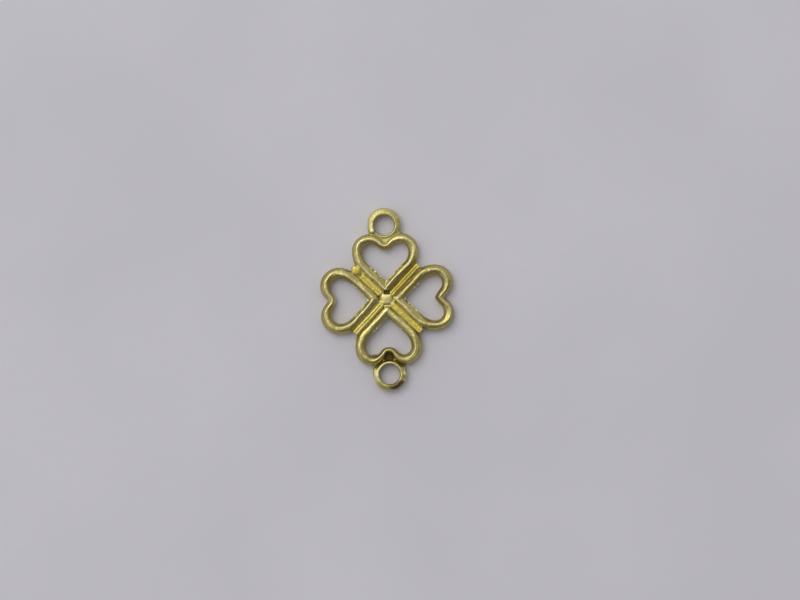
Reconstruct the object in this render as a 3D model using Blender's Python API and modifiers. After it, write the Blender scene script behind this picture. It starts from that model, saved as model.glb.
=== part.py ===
# Clover heart charm: a small cast brass link whose four heart frames meet at a centre pad.
# An eyelet at the top and one at the bottom take the rings that it hangs by.
# World units are metres, +Z up. The charm lies on its flat back with its front up, and the top
# eyelet points along +Y. The origin is the centre of the clover, on the back plane.

import math

import bmesh
import bpy
from mathutils import Matrix

# The sizes are in millimetres, and MM turns them into metres.
MM = 0.001

# Overall sizes
CLOVER_WIDTH = 14.54
THICKNESS = 1.5

# Heart frames, each bent from a wire with a flat back, upright sides and a rounded crest
WIRE_WIDTH = 1.17
CREST_RISE = 0.5
LOBE_INNER_RADIUS = 0.87
SIDE_INNER_RADIUS = 1.70
NOTCH_EDGE_RADIUS = 0.07
NOTCH_SLOPE = math.radians(50.0)

# Grainy strips in the valleys between neighbouring hearts
STRIP_FOOT_WIDTH = 0.48
STRIP_TOP_WIDTH = 0.76
STRIP_DROP = 0.02
STRIP_OVERHANG = 0.84
STRIP_PRONG = 0.12

# Bead at the outer end of the upper left strip
BEAD_LENGTH = 1.05
BEAD_WIDTH = 0.86
BEAD_DROP = 0.0
BEAD_GAP = 0.22

# Centre pad, with a pit between each of its sides and the point of a heart
PAD_SIDE = 0.88
PAD_DROP = 0.08
PAD_EDGE = 0.08
PIT_WIDTH = 0.26

# Eyelets, let into the outer sides of the lobes. A rounded edge takes up no more than its
# share of the rim at its narrowest.
EYELET_DIAMETER = 3.60
EYELET_HOLE = 2.20
EYELET_THICKNESS = 1.25
EYELET_SEAT_DEPTH = 0.457
TOP_HOLE_SHIFT = 0.11
TOP_EYELET_EDGE = 0.16
BOTTOM_EYELET_EDGE = 0.26
RIM_SHARE = 0.4

# Solder seam between pieces that are joined
SEAM = 0.03

# Fineness of the faceted curves
ARC_STEP = math.radians(12.0)
CREST_STEPS = 10
FLANK_STEPS = 5
EYELET_STEPS = 48
EDGE_STEPS = 3
WELD = 0.0001
CUT_OVERRUN = 1.0

# The wire's centre line in the upright heart, whose point is at the bottom. LOBE_X and LOBE_Y
# are the middle of its right lobe, and HEART_HALF_WIDTH is half the line's own width.
HALF_WIRE = WIRE_WIDTH / 2
SPRING_HEIGHT = THICKNESS - CREST_RISE
SIDE_RADIUS = SIDE_INNER_RADIUS + HALF_WIRE
LOBE_RADIUS = LOBE_INNER_RADIUS + HALF_WIRE
NOTCH_RADIUS = NOTCH_EDGE_RADIUS + HALF_WIRE
VALLEY_TO_WIRE = STRIP_FOOT_WIDTH / 2 + SEAM + HALF_WIRE
POINT_Y = VALLEY_TO_WIRE * math.sqrt(2)
LOBE_Y = CLOVER_WIDTH / 2 - HALF_WIRE - LOBE_RADIUS
HEART_HALF_WIDTH = LOBE_Y - POINT_Y - SIDE_RADIUS * math.tan(math.pi / 8)
LOBE_X = HEART_HALF_WIDTH - LOBE_RADIUS

# The strips end past the place where the hearts' straight sides do.
SIDE_END_X = HEART_HALF_WIDTH - SIDE_RADIUS * (1 - math.cos(math.pi / 4))
SIDE_END_Y = LOBE_Y - SIDE_RADIUS * math.sin(math.pi / 4)
STRIP_START = PAD_SIDE / math.sqrt(2) - STRIP_PRONG
STRIP_END = (SIDE_END_X + SIDE_END_Y) / math.sqrt(2) + STRIP_OVERHANG

# The eyelets' rims reach the seat depth into both lobes.
LOBE_TO_EYELET = HALF_WIRE + LOBE_RADIUS + EYELET_DIAMETER / 2 - EYELET_SEAT_DEPTH
EYELET_CENTRE = LOBE_Y + math.sqrt(LOBE_TO_EYELET ** 2 - LOBE_X ** 2)

HEARTS = {"top_heart": 0, "left_heart": 90, "bottom_heart": 180, "right_heart": 270}
STRIPS = {
    "upper_right_strip": 45,
    "upper_left_strip": 135,
    "lower_left_strip": 225,
    "lower_right_strip": 315,
}

BRASS = (0.60, 0.49, 0.14)
GRAINY_BRASS = (0.68, 0.52, 0.10)


def clear_scene():
    for old in list(bpy.data.objects):
        bpy.data.objects.remove(old, do_unlink=True)


def new_collection(name):
    collection = bpy.data.collections.new(name)
    bpy.context.scene.collection.children.link(collection)
    return collection


def brass(name, colour, roughness):
    material = bpy.data.materials.new(name)
    material.use_nodes = True
    shader = material.node_tree.nodes["Principled BSDF"]
    shader.inputs["Base Color"].default_value = (*colour, 1.0)
    shader.inputs["Metallic"].default_value = 1.0
    shader.inputs["Roughness"].default_value = roughness
    return material


def add_part(name, mesh, root):
    # Put a mesh on the charm as a named piece.
    part = bpy.data.objects.new(name, mesh)
    root.users_collection[0].objects.link(part)
    part.parent = root
    return part


def add_cutter(name, mesh, cutters):
    cutter = bpy.data.objects.new(name, mesh)
    cutters.objects.link(cutter)
    cutter.hide_render = True
    cutter.display_type = "WIRE"
    return cutter


def cut(part, cutter):
    boolean = part.modifiers.new(cutter.name, "BOOLEAN")
    boolean.operation = "DIFFERENCE"
    boolean.solver = "EXACT"
    boolean.object = cutter


def round_edges(part, width):
    bevel = part.modifiers.new("rounded_edges", "BEVEL")
    bevel.width = width * MM
    bevel.segments = EDGE_STEPS
    bevel.limit_method = "ANGLE"
    bevel.angle_limit = math.radians(50.0)


def closed_curve(name, points):
    # A flat closed outline through points in millimetres.
    curve = bpy.data.curves.new(name, "CURVE")
    curve.dimensions = "2D"
    curve.fill_mode = "NONE"
    spline = curve.splines.new("POLY")
    spline.points.add(len(points) - 1)
    for knot, (x, y) in zip(spline.points, points):
        knot.co = (x, y, 0.0, 1.0)
    spline.use_cyclic_u = True
    return curve


def mesh_from_curve(name, curve, material):
    # Curves are drawn in millimetres, since Blender's fill merges points 0.03 units apart
    # or less, and the finished mesh is brought to metres here.
    drawn = bpy.data.objects.new(name + "_curve", curve)
    bpy.context.scene.collection.objects.link(drawn)
    evaluated = drawn.evaluated_get(bpy.context.evaluated_depsgraph_get())
    mesh = bpy.data.meshes.new_from_object(evaluated)
    mesh.name = name
    bpy.data.objects.remove(drawn)
    bpy.data.curves.remove(curve)
    shape = bmesh.new()
    shape.from_mesh(mesh)
    bmesh.ops.remove_doubles(shape, verts=shape.verts, dist=WELD)
    bmesh.ops.recalc_face_normals(shape, faces=shape.faces)
    bmesh.ops.scale(shape, vec=(MM, MM, MM), verts=shape.verts)
    shape.to_mesh(mesh)
    shape.free()
    mesh.materials.append(material)
    return mesh


def shade(mesh):
    mesh.shade_smooth()
    mesh.set_sharp_from_angle(angle=math.radians(35.0))


def arc(centre, radius, start, end):
    # Points on an arc from one angle to another, both ends included.
    steps = max(2, math.ceil(abs(end - start) / ARC_STEP))
    angles = [start + (end - start) * i / steps for i in range(steps + 1)]
    return [(centre[0] + radius * math.cos(a), centre[1] + radius * math.sin(a)) for a in angles]


def heart_path():
    # Each side leaves the point at 45 degrees, bends upright, runs round its lobe and dips
    # into the notch. Every arc meets the next line or arc at a shared tangent.
    bend = LOBE_RADIUS + NOTCH_RADIUS
    slope = math.asin(min(LOBE_X / bend, math.sin(NOTCH_SLOPE)))
    run = LOBE_X - bend * math.sin(slope)
    notch_y = LOBE_Y + bend * math.cos(slope) - run * math.tan(slope)
    quarter = math.pi / 2
    side = arc((HEART_HALF_WIDTH - SIDE_RADIUS, LOBE_Y), SIDE_RADIUS, -quarter / 2, 0.0)
    lobe = arc((LOBE_X, LOBE_Y), LOBE_RADIUS, 0.0, quarter + slope)
    notch = arc((0.0, notch_y), NOTCH_RADIUS, slope - quarter, -quarter)
    if run < WELD:
        notch = notch[1:]
    right = side + lobe[1:] + notch
    left = [(-x, y) for x, y in reversed(right[:-1])]
    return [(0.0, POINT_Y)] + right + left


def wire_section():
    # Flat back, upright sides and a rounded crest.
    crest = []
    for i in range(CREST_STEPS + 1):
        angle = math.pi * i / CREST_STEPS
        crest.append((HALF_WIRE * math.cos(angle), SPRING_HEIGHT + CREST_RISE * math.sin(angle)))
    return [(-HALF_WIRE, 0.0), (HALF_WIRE, 0.0)] + crest


def heart_mesh(material):
    section = bpy.data.objects.new("wire_section", closed_curve("wire_section", wire_section()))
    bpy.context.scene.collection.objects.link(section)
    path = closed_curve("heart_path", heart_path())
    path.bevel_mode = "OBJECT"
    path.bevel_object = section
    mesh = mesh_from_curve("heart", path, material)
    section_curve = section.data
    bpy.data.objects.remove(section)
    bpy.data.curves.remove(section_curve)
    shade(mesh)
    return mesh


def box_mesh(name, side, bottom, top):
    # A square box on the origin's axis.
    mesh = bpy.data.meshes.new(name)
    shape = bmesh.new()
    size = Matrix.Diagonal((side * MM, side * MM, (top - bottom) * MM, 1.0))
    lift = Matrix.Translation((0.0, 0.0, (top + bottom) / 2 * MM))
    bmesh.ops.create_cube(shape, size=1.0, matrix=lift @ size)
    shape.to_mesh(mesh)
    shape.free()
    return mesh


def disc_mesh(name, diameter, bottom, top):
    mesh = bpy.data.meshes.new(name)
    shape = bmesh.new()
    bmesh.ops.create_cone(
        shape,
        cap_ends=True,
        segments=EYELET_STEPS,
        radius1=diameter / 2 * MM,
        radius2=diameter / 2 * MM,
        depth=(top - bottom) * MM,
        matrix=Matrix.Translation((0.0, 0.0, (top + bottom) / 2 * MM)),
    )
    shape.to_mesh(mesh)
    shape.free()
    return mesh


def valley_section(top_width, crest):
    # A section that fills the valley between two heart wires, a seam away from both.
    # Its flanks follow the wires' rounded sides, and its own top is domed.
    reach = HALF_WIRE + SEAM
    rise = CREST_RISE + SEAM
    last = math.acos((VALLEY_TO_WIRE - top_width / 2) / reach)
    flank = []
    for i in range(FLANK_STEPS + 1):
        angle = last * i / FLANK_STEPS
        flank.append((VALLEY_TO_WIRE - reach * math.cos(angle), SPRING_HEIGHT + rise * math.sin(angle)))
    edge_x, edge_z = flank[-1]
    dome = []
    for i in range(1, CREST_STEPS):
        angle = math.pi * i / CREST_STEPS
        dome.append((edge_x * math.cos(angle), edge_z + (crest - edge_z) * math.sin(angle)))
    mirrored = [(-x, z) for x, z in reversed(flank)]
    foot = STRIP_FOOT_WIDTH / 2
    return [(-foot, 0.0), (foot, 0.0)] + flank + dome + mirrored


def valley_filler(name, angle, start, end, top_width, crest, material, root):
    # A straight piece along one valley, between two distances from the centre.
    outline = closed_curve(name, valley_section(top_width, crest))
    outline.fill_mode = "BOTH"
    outline.extrude = (end - start) / 2
    mesh = mesh_from_curve(name, outline, material)
    stand = Matrix.Rotation(math.radians(90.0), 4, "Z") @ Matrix.Rotation(math.radians(90.0), 4, "X")
    mesh.transform(Matrix.Translation(((start + end) / 2 * MM, 0.0, 0.0)) @ stand)
    shade(mesh)
    filler = add_part(name, mesh, root)
    filler.rotation_euler.z = math.radians(angle)
    return filler


def make_hearts(root, material, point_cutter, seat_cutters):
    wire = heart_mesh(material)
    for name, angle in HEARTS.items():
        heart = add_part(name, wire, root)
        heart.rotation_euler.z = math.radians(angle)
        cut(heart, point_cutter)
        if name in seat_cutters:
            cut(heart, seat_cutters[name])


def make_strips(root, material, pad_cutter):
    # The corners of the pad are let into the inner ends of the strips.
    for name, angle in STRIPS.items():
        end = STRIP_END
        if name == "upper_left_strip":
            end -= BEAD_LENGTH + BEAD_GAP
        crest = THICKNESS - STRIP_DROP
        strip = valley_filler(name, angle, STRIP_START, end, STRIP_TOP_WIDTH, crest, material, root)
        cut(strip, pad_cutter)


def make_bead(root, material):
    angle = STRIPS["upper_left_strip"]
    start = STRIP_END - BEAD_LENGTH
    crest = THICKNESS - BEAD_DROP
    valley_filler("upper_left_bead", angle, start, STRIP_END, BEAD_WIDTH, crest, material, root)


def make_pad(root, material):
    mesh = box_mesh("centre_pad", PAD_SIDE, 0.0, THICKNESS - PAD_DROP)
    mesh.materials.append(material)
    pad = add_part("centre_pad", mesh, root)
    round_edges(pad, PAD_EDGE)


def make_eyelets(root, material, cutters):
    # The hole of the top eyelet sits a little nearer the hearts than its rim does.
    kinds = {
        "top_eyelet": (1.0, TOP_HOLE_SHIFT, TOP_EYELET_EDGE),
        "bottom_eyelet": (-1.0, 0.0, BOTTOM_EYELET_EDGE),
    }
    for name, (side, shift, edge) in kinds.items():
        mesh = disc_mesh(name, EYELET_DIAMETER, 0.0, EYELET_THICKNESS)
        mesh.materials.append(material)
        shade(mesh)
        eyelet = add_part(name, mesh, root)
        eyelet.location.y = side * EYELET_CENTRE * MM
        bore = disc_mesh(name + "_bore", EYELET_HOLE, -CUT_OVERRUN, EYELET_THICKNESS + CUT_OVERRUN)
        bore_cutter = add_cutter(name + "_bore", bore, cutters)
        bore_cutter.location.y = side * (EYELET_CENTRE - shift) * MM
        cut(eyelet, bore_cutter)
        rim = (EYELET_DIAMETER - EYELET_HOLE) / 2 - shift
        round_edges(eyelet, min(edge, rim * RIM_SHARE))


def make_seat_cutters(cutters):
    # The hearts are filed to the eyelets' rims, where the rims are soldered on.
    seats = {}
    for heart, side in {"top_heart": 1.0, "bottom_heart": -1.0}.items():
        name = heart + "_seat"
        seat = disc_mesh(name, EYELET_DIAMETER + 2 * SEAM, -CUT_OVERRUN, THICKNESS + CUT_OVERRUN)
        seats[heart] = add_cutter(name, seat, cutters)
        seats[heart].location.y = side * EYELET_CENTRE * MM
    return seats


def main():
    clear_scene()
    parts = new_collection("clover_heart_charm")
    cutters = new_collection("cutters")
    root = bpy.data.objects.new("charm", None)
    root.empty_display_size = CLOVER_WIDTH / 2 * MM
    parts.objects.link(root)

    plain = brass("brass", BRASS, 0.30)
    grainy = brass("grainy_brass", GRAINY_BRASS, 0.45)

    low = -CUT_OVERRUN
    high = THICKNESS + CUT_OVERRUN
    point_trim = box_mesh("point_trim", PAD_SIDE + 2 * PIT_WIDTH, low, high)
    point_cutter = add_cutter("point_trim", point_trim, cutters)
    pad_seat = box_mesh("pad_seat", PAD_SIDE + 2 * SEAM, low, high)
    pad_cutter = add_cutter("pad_seat", pad_seat, cutters)

    make_hearts(root, plain, point_cutter, make_seat_cutters(cutters))
    make_strips(root, grainy, pad_cutter)
    make_bead(root, grainy)
    make_pad(root, plain)
    make_eyelets(root, plain, cutters)


main()
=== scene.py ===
# Looks of the clover heart charm, a small cast brass link.
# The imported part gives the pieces, their body and the box round them. Each piece is rebuilt
# here as a finer mesh with the soft joins, lumps and grain of a casting.

import functools
import itertools
import math

import bpy
import numpy as np
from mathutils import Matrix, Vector


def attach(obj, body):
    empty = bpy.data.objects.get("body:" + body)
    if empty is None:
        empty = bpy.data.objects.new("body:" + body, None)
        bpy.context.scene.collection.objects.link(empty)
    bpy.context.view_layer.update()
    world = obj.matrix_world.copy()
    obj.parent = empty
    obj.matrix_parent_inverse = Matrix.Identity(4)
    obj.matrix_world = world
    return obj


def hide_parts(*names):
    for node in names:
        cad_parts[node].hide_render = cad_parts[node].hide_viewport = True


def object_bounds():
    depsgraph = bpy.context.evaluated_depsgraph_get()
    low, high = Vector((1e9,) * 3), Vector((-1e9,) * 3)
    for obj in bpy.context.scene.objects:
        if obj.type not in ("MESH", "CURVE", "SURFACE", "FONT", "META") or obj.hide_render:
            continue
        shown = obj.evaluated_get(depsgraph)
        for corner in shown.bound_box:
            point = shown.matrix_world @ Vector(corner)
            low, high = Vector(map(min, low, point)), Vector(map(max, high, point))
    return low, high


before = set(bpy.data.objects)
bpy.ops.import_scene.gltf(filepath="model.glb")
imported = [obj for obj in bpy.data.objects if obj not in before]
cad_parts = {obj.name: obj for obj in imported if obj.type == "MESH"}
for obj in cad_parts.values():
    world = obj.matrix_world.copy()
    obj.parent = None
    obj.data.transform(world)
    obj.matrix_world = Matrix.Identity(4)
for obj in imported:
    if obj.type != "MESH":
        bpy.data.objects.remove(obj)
cad_low, cad_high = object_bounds()

# Sizes are in millimetres, and MM turns them into metres
MM = 0.001
SQRT2 = math.sqrt(2.0)
RIGHT_ANGLE = math.pi / 2

# Fineness of the grid that the metal is modelled on, grid steps outside the metal, value of a
# field far from its piece, and the share of the faces kept at the end
GRID_STEP = 0.04
GRID_ROOM = 4
FAR = 1.0
FACES_KEPT = 0.6

# Hearts and strips, with the angle by which each is turned
HEARTS = {"top_heart": 0, "left_heart": 90, "bottom_heart": 180, "right_heart": 270}
STRIPS = {
    "upper_right_strip": 45,
    "upper_left_strip": 135,
    "lower_left_strip": 225,
    "lower_right_strip": 315,
}

# Thickness of the charm, and half width of its wire
THICKNESS = 1.5
HALF_WIRE = 0.585

# Centre line of the upright heart. LOBE_X and LOBE_Y are the middle of its right lobe, and
# SIDE_X is the middle of the arc between that lobe and the straight side. Arcs run on past
# their ends by ANGLE_ROOM, so that no wedge is left between them. The part of the grid that
# holds a heart goes HEART_REACH out from the centre and HEART_SIDE to either side.
POINT_Y = 1.209
SIDE_X = 0.79
SIDE_RADIUS = 2.285
LOBE_X = 1.62
LOBE_Y = 5.23
LOBE_RADIUS = 1.455
NOTCH_Y = 6.585
NOTCH_RADIUS = 0.655
NOTCH_SLOPE = math.radians(50.0)
ANGLE_ROOM = 0.02
HEART_REACH = 7.9
HEART_SIDE = 3.9

# How far from the centre each heart's point is trimmed, square to the pad's side
POINT_TRIM = {"top_heart": 0.95, "left_heart": 0.78, "bottom_heart": 0.80, "right_heart": 0.78}
POINT_FILLET = 0.20

# Heights in the upright heart between which the straight sides turn into lobes, the press of
# the notch sets in, and the notch moves aside, and widths of that move and of its flanks
LOBE_RISE = (3.3, 4.6)
PRESS_RISE = (4.6, 5.5)
ASIDE_RISE = (4.8, 6.0)
ASIDE_WIDTH = 1.0
FLANK_WIDTH = 0.8

# Crest of the wire: height of its ridge, fall from there to the edge, roundness of the ridge
# and of the edge on the lobes, and of the edge on the straight sides. Along the lobes the
# ridge wanders from side to side.
RIDGE_TOP = 1.475
RIDGE_FALL = 0.29
LOBE_RIDGE = 0.62
LOBE_EDGE = 0.44
LOBE_WANDER = 0.07
SIDE_EDGE = 0.24
WORN_EDGE = 0.01

# Left and right straight side of each upright heart: how far outwards from the middle its
# ridge lies, how round it is and how much of it is worn flat. The left half turns into the
# right half over MIDDLE_BAND.
SIDE_SHAPE = {
    "top_heart": ((0.15, 0.10, 0.0), (-0.10, 0.36, 0.0)),
    "left_heart": ((-0.13, 0.15, 0.0), (-0.06, 0.30, 0.0)),
    "bottom_heart": ((0.05, 0.20, 0.035), (0.08, 0.26, 0.0)),
    "right_heart": ((0.09, 0.26, 0.0), (0.16, 0.12, 0.0)),
}
MIDDLE_BAND = (-0.15, 0.15)

# Rounding of the wire's turn at each heart's point and at its notch
TURN_ROUND = {
    "top_heart": (0.10, 0.06),
    "left_heart": (0.22, 0.32),
    "bottom_heart": (0.03, 0.10),
    "right_heart": (0.03, 0.22),
}

# Each notch was pressed in: share of the wire's width lost there, how far the notch moved
# inwards, the wire beside it moved inwards and the notch moved to the right, width of the
# press, width of the thinner part, how much of the bend is a sharp V, and roundness of the
# ridge
NOTCH_PRESS = {
    "top_heart": (0.28, 0.06, 0.04, 0.0, 0.95, 1.05, 0.18, 0.26),
    "left_heart": (0.42, 0.08, 0.0, 0.10, 0.95, 1.05, 0.0, 1.00),
    "bottom_heart": (0.42, 0.42, 0.05, 0.0, 1.15, 1.35, 0.0, 0.26),
    "right_heart": (0.36, 0.06, 0.0, 0.0, 0.95, 1.05, 0.75, 0.16),
}

# The hearts' straight sides are thinner on their inner side. A burr runs along the wall there,
# here thick and there thin: its height, its radius, the mean and spread of the share of that
# radius, where the burr ends along the side, and its share on each heart's left and right.
STRAIGHT_THINNER = 0.10
THINNER_BAND = (-0.1, 0.3)
BURR_HEIGHT = 1.19
BURR_RADIUS = 0.080
BURR_MEAN = 0.75
BURR_SPREAD = 0.40
BURR_END = (2.8, 3.2)
BURR_JOIN = 0.05
BURR_SHARE = {
    "top_heart": (0.9, 0.9),
    "left_heart": (0.9, 0.5),
    "bottom_heart": (0.3, 0.4),
    "right_heart": (0.4, 0.7),
}

# Strips: heights of the dome's edge and top, distances from the centre to their ends, fillet
# of the outline, and room in the grid past the end and to either side
STRIP_EDGE = 1.33
STRIP_TOP = 1.48
STRIP_END = 5.10
SHORT_STRIP_END = 3.83
STRIP_FILLET = 0.20
STRIP_ROOM = 0.7
STRIP_SIDE = 1.1

# For each strip: share of the grain, inner end, middle and half width across it, depth and
# place of the fold along it, and heights of the solder bed on its clockwise and
# counter-clockwise side
STRIP_MAKE = {
    "upper_right_strip": (0.7, 0.70, 0.03, 0.31, 0.065, 0.02, (1.22, 1.16)),
    "upper_left_strip": (1.0, 0.86, 0.02, 0.37, 0.050, 0.10, (1.27, 1.10)),
    "lower_left_strip": (0.7, 0.68, -0.04, 0.32, 0.070, -0.03, (1.08, 1.21)),
    "lower_right_strip": (1.0, 0.66, 0.0, 0.35, 0.015, -0.10, (1.06, 1.27)),
}
FOLD_WIDTH = 0.08
BED_HALF = 0.60
BED_START = 0.60
BED_END = 4.90
BED_BAND = (-0.1, 0.1)

# Bead, and the neck of solder between it and the strip's end. The neck's half sizes are along
# the strip and across it, and BEAD_PATCH is the start, end and half width of their part of the
# grid, taken along the strip.
BEAD_MIDDLE = (-3.22, 3.33)
BEAD_HALF = 0.49
BEAD_CORNER = 0.24
BEAD_TOP = THICKNESS - 0.03
BEAD_DOME = 0.30
BEAD_EDGE = 0.20
NECK_MIDDLE = 4.02
NECK_HALF = (0.40, 0.36)
NECK_TOP = 1.31
NECK_EDGE = 0.08
NECK_JOIN = 0.14
BEAD_PATCH = (3.12, 5.7, 1.0)

# Pad. Its top falls to the solder round it over PAD_FALL, measured outwards from its side. The
# solder runs on past the hearts' trimmed points by PAD_LAP, and PAD_REACH cuts its corners.
PAD_HALF = 0.47
PAD_TOP = 1.42
PAD_SOLDER = 1.34
PAD_FALL = (-0.22, 0.30)
PAD_CORNER = 0.20
PAD_LAP = 0.08
PAD_REACH = 1.25
PAD_ROOM = 1.5

# Pits beside the pad: middle, half sizes, floor and roundness of the rim
PITS = (
    ((0.0, 0.77), (0.30, 0.18), 0.98, 0.12),
    ((-0.86, 0.14), (0.10, 0.14), 1.26, 0.26),
    ((0.66, 0.16), (0.02, 0.22), 1.24, 0.10),
    ((0.0, -0.62), (0.28, 0.02), 1.35, 0.18),
)
PIT_EDGE = 0.08
PIT_ROOM = 0.5

# Eyelets. Each top is level out to EYELET_CREST and falls from there to FALL_ROOM past the
# rim. Towards its heart it sinks further, over SINK_TURN round the ring and SINK_OUT outwards.
EYELET_Y = 8.20
EYELET_RADIUS = 1.80
HOLE_RADIUS = 1.10
TOP_HOLE_SHIFT = 0.11
EYELET_TOP = 1.25
EYELET_CREST = 1.26
EYELET_FALL = 0.27
EYELET_EDGE = 0.10
HOLE_EDGE = 0.27
FALL_ROOM = 0.02
SINK_TURN = (0.15, 0.80)
SINK_OUT = (0.15, 0.85)
EYELET_SINK = {"top_eyelet": 0.08, "bottom_eyelet": 0.34}
EYELET_JOIN = {"top_eyelet": 0.10, "bottom_eyelet": 0.05}
EYELET_PATCH_Y = 8.0
EYELET_PATCH_HALF = 2.4

# Where a lobe and an eyelet run together: two ends of a line, its half width and height
SHOULDERS = {
    "top_eyelet": (
        ((-1.50, 7.85), (-1.38, 7.20), 0.27, 1.16),
        ((1.45, 7.80), (1.52, 7.20), 0.25, 1.08),
    ),
    "bottom_eyelet": (
        ((-1.52, -8.10), (-1.58, -7.74), 0.26, 0.99),
        ((1.50, -7.95), (1.54, -7.60), 0.24, 0.86),
    ),
}
SHOULDER_EDGE = 0.32
SHOULDER_JOIN = 0.2

# Lumps on the eyelets: centre and radii
EYELET_LUMPS = {
    "top_eyelet": (((-1.26, 7.52, 0.98), (0.36, 0.28, 0.30)),),
    "bottom_eyelet": (
        ((1.66, -8.18, 1.02), (0.10, 0.20, 0.14)),
        ((1.52, -8.86, 0.98), (0.09, 0.15, 0.12)),
    ),
}
LUMP_JOIN = 0.16

# Thin ridges on the eyelets: two ends, half width and height
EYELET_RIDGES = {
    "top_eyelet": (((0.85, 6.98), (1.46, 7.36), 0.05, 1.12),),
    "bottom_eyelet": (),
}
THIN_RIDGE_EDGE = 0.08

# Solder in the gaps between the notches and the eyelets: middle, half sizes, height and
# roundness of the upper edge
GAP_FILLS = {
    "top_eyelet": (((0.0, 6.42), (0.80, 0.30), 1.14, 0.10),),
    "bottom_eyelet": (
        ((0.0, -6.20), (0.95, 0.46), 0.42, 0.10),
        ((-1.20, -6.34), (0.66, 0.34), 1.00, 0.34),
        ((0.86, -6.46), (0.46, 0.34), 0.92, 0.40),
    ),
}
GAP_ROOM = 0.6

# Edges and fillets: foot of every solid, upper edge of flat tops, joins between pieces, and
# edge of the flat back
FOOT_EDGE = 0.12
FLAT_EDGE = 0.06
HEART_JOIN = 0.08
GAP_JOIN = 0.08
BED_JOIN = 0.06
STRIP_JOIN = 0.05
PAD_JOIN = 0.11
BEAD_JOIN = 0.10
BACK_EDGE = 0.03

# Unevenness of the wires: sideways drift, share by which they swell and thin, and height of
# the long marks along them
WIRE_DRIFT = 0.020
WIRE_SWELL = 0.022
WIRE_STREAK = 0.013

# The long marks: cells of random values across and along a wire, their length and width, the
# spread of the smoothed values, first seed, and the middle and radius from which the place
# along a heart's wire is taken
STREAK_CELLS = 64
STREAK_WIDTH = 0.14
STREAK_LENGTH = 0.80
STREAK_SPREAD = 0.47
STREAK_SEED = 31
STREAK_MIDDLE = 4.2
STREAK_RADIUS = 3.0

# Size of the lumps and seed of the slow changes along the wires, and of the burr's changes
DRIFT_NOISE = (0.9, 11)
SWELL_NOISE = (1.3, 12)
WANDER_NOISE = (0.8, 15)
BURR_NOISE = (0.15, 16)

# Grain on the strips and the bead. Single round grains stand up where their noise passes a
# level, on a ground that is nearly even.
GRAIN_HEIGHT = 0.015
GRAIN_NOISE = (0.11, 13)
GRAIN_LEVEL = 0.4
GRAIN_MOST = 1.6
GROUND_HEIGHT = 0.0025
GROUND_NOISE = (0.20, 14)

# Orange-peel skin of the casting: height, size of the lumps and seed of each layer
SKIN = ((0.0045, 0.45, 21), (0.0035, 0.20, 22), (0.0022, 0.11, 23))

# Each piece's mesh runs on by PIECE_LAP into its neighbours. It counts as hidden where the
# whole casting's field is below HIDDEN.
PIECE_LAP = 0.035
HIDDEN = -0.012

# Grid over the whole charm
ROOM = GRID_ROOM * GRID_STEP
GRID_LOW = np.array([v / MM for v in cad_low]) - ROOM
GRID_HIGH = np.array([v / MM for v in cad_high]) + ROOM
GRID_COUNT = np.ceil((GRID_HIGH - GRID_LOW) / GRID_STEP).astype(int) + 1
X_LINE, Y_LINE, Z_LINE = (
    (GRID_LOW[a] + GRID_STEP * np.arange(GRID_COUNT[a])).astype(np.float32) for a in range(3)
)
X, Y = np.meshgrid(X_LINE, Y_LINE, indexing="ij")
Z = Z_LINE[None, None, :]


def soft_min(a, b, width):
    # The lesser of two fields, with a fillet of about this width where they meet
    near = np.maximum(width - np.abs(a - b), 0.0) / width
    return np.minimum(a, b) - near * near * width * 0.25


def soft_max(a, b, width):
    # The greater of two fields, rounded over in the same way
    return -soft_min(-a, -b, width)


def step(value, start, end):
    # Grows smoothly from 0 at the start to 1 at the end
    t = np.clip((value - start) / (end - start), 0.0, 1.0)
    return t * t * (3.0 - 2.0 * t)


def spline_parts(t):
    # Cubic B-spline weights of the four values round a place
    return (
        (1 - t) ** 3 / 6,
        (3 * t ** 3 - 6 * t ** 2 + 4) / 6,
        (-3 * t ** 3 + 3 * t ** 2 + 3 * t + 1) / 6,
        t ** 3 / 6,
    )


def spline_weights(count, spacing, line, low):
    # Weights of a coarse row of values at the grid's places on one axis
    place = (line - low) / spacing + 1.0
    cell = np.floor(place).astype(int)
    weights = np.zeros((len(line), count), np.float32)
    rows = np.arange(len(line))
    for offset, part in enumerate(spline_parts(place - cell)):
        weights[rows, cell + offset - 1] += part
    return weights


def noise(spacing, seed):
    # Smooth random values over the whole grid, about 1 in spread, with lumps of this size
    rng = np.random.default_rng(seed)
    counts = np.ceil((GRID_HIGH - GRID_LOW) / spacing).astype(int) + 5
    values = rng.standard_normal(counts).astype(np.float32)
    for axis, line in enumerate((X_LINE, Y_LINE, Z_LINE)):
        weights = spline_weights(counts[axis], spacing, line, GRID_LOW[axis])
        values = np.moveaxis(np.tensordot(weights, values, axes=(1, axis)), 0, axis)
    return values / values.std()


def flat_noise(spacing, seed):
    # The same for the plane
    rng = np.random.default_rng(seed)
    counts = np.ceil((GRID_HIGH - GRID_LOW) / spacing).astype(int) + 5
    values = rng.standard_normal(counts[:2]).astype(np.float32)
    across = spline_weights(counts[0], spacing, X_LINE, GRID_LOW[0])
    along = spline_weights(counts[1], spacing, Y_LINE, GRID_LOW[1])
    values = across @ values @ along.T
    return values / values.std()


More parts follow.
